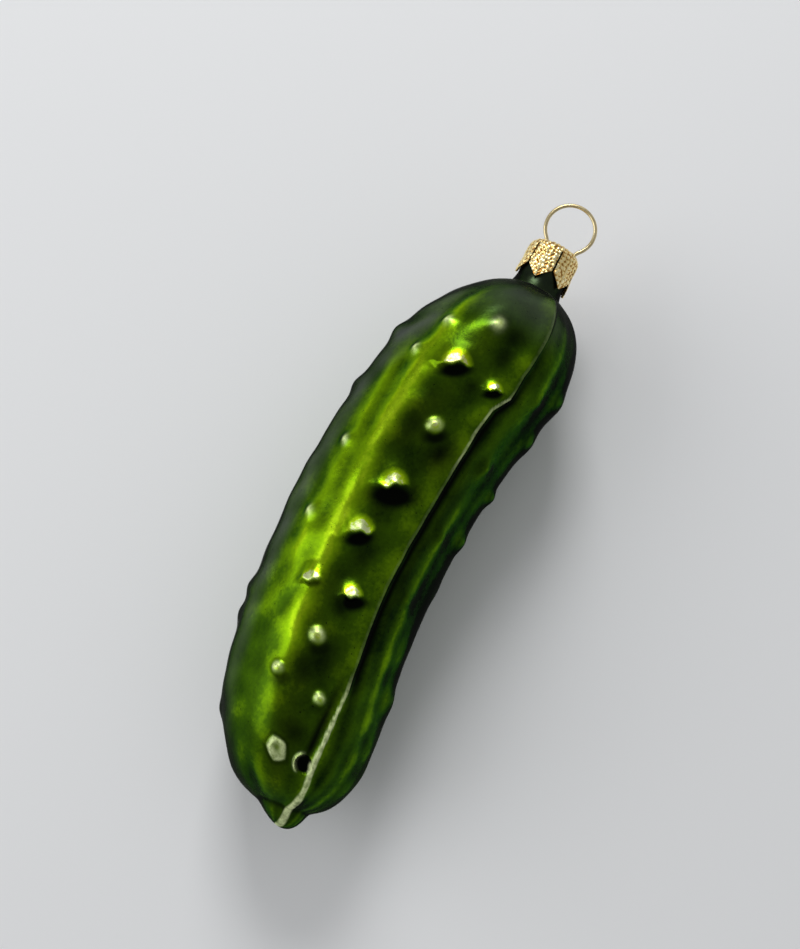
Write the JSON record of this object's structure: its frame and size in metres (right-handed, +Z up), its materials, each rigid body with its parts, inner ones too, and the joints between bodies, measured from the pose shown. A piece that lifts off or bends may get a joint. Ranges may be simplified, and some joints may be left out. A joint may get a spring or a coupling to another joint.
{
  "type": "pickle ornament",
  "caption": "Pickle-shaped blown glass tree ornament with raised warts and a satin green finish, a gold crown cap that pulls off its neck, and a sprung wire hanging ring.",
  "frame": {"origin": "under the middle of the whole ornament, on the surface that it lies on", "axes": "+X along the neck towards the hanging ring, +Y the side that the fruit bows to, +Z up from the surface that it lies on"},
  "size_m": [0.1236, 0.0356, 0.0331],
  "materials": {
    "green_glass": "satin transparent green lacquer over silvered glass",
    "gold_cap": "stamped and embossed gold-coloured sheet",
    "gold_wire": "smooth drawn gold-coloured wire"
  },
  "bodies": {
    "glass": {"glass_body": "green_glass", "glass_neck": "green_glass"},
    "cap": {"crown_cap": "gold_cap"},
    "hanger": {"wire_hanger": "gold_wire"}
  },
  "joints": [
    {"name": "cap_pull", "type": "slide", "parent": "glass", "child": "cap", "axis": [1, 0, 0], "range_m": [0, 0.016]},
    {"name": "hanger_lift", "type": "slide", "parent": "cap", "child": "hanger", "axis": [1, 0, 0], "range_m": [0, 0.006]}
  ]
}
